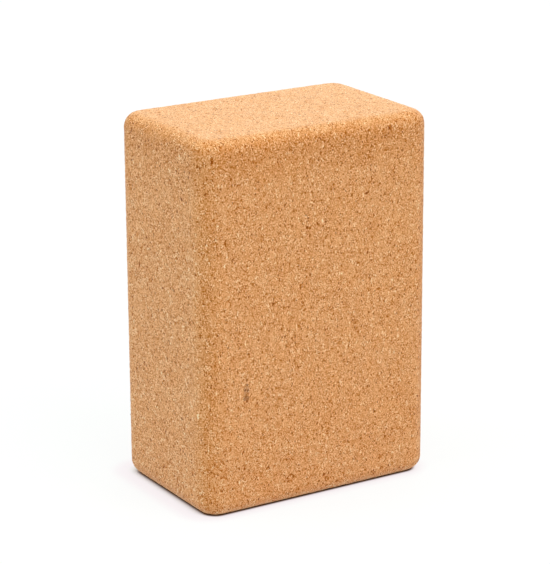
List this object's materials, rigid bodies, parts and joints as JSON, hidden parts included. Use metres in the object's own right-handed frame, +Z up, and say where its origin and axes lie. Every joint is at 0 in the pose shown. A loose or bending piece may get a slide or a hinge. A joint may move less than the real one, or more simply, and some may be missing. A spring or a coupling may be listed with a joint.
{
  "type": "yoga block",
  "caption": "Cork yoga block: a solid brick of pressed cork granulate with rounded edges, stood on an end, a side or a wide face to raise the floor towards a hand, foot or seat.",
  "frame": {"origin": "middle of the small end face that the block stands on", "axes": "+Z up the height, the longest side; X across the wide face, with the pictured wide face at -Y; Y through the thickness, the shortest side"},
  "size_m": [0.154, 0.1, 0.222],
  "materials": {
    "cork": "matte"
  },
  "bodies": {
    "root": {"cork_block": "cork"}
  },
  "joints": []
}
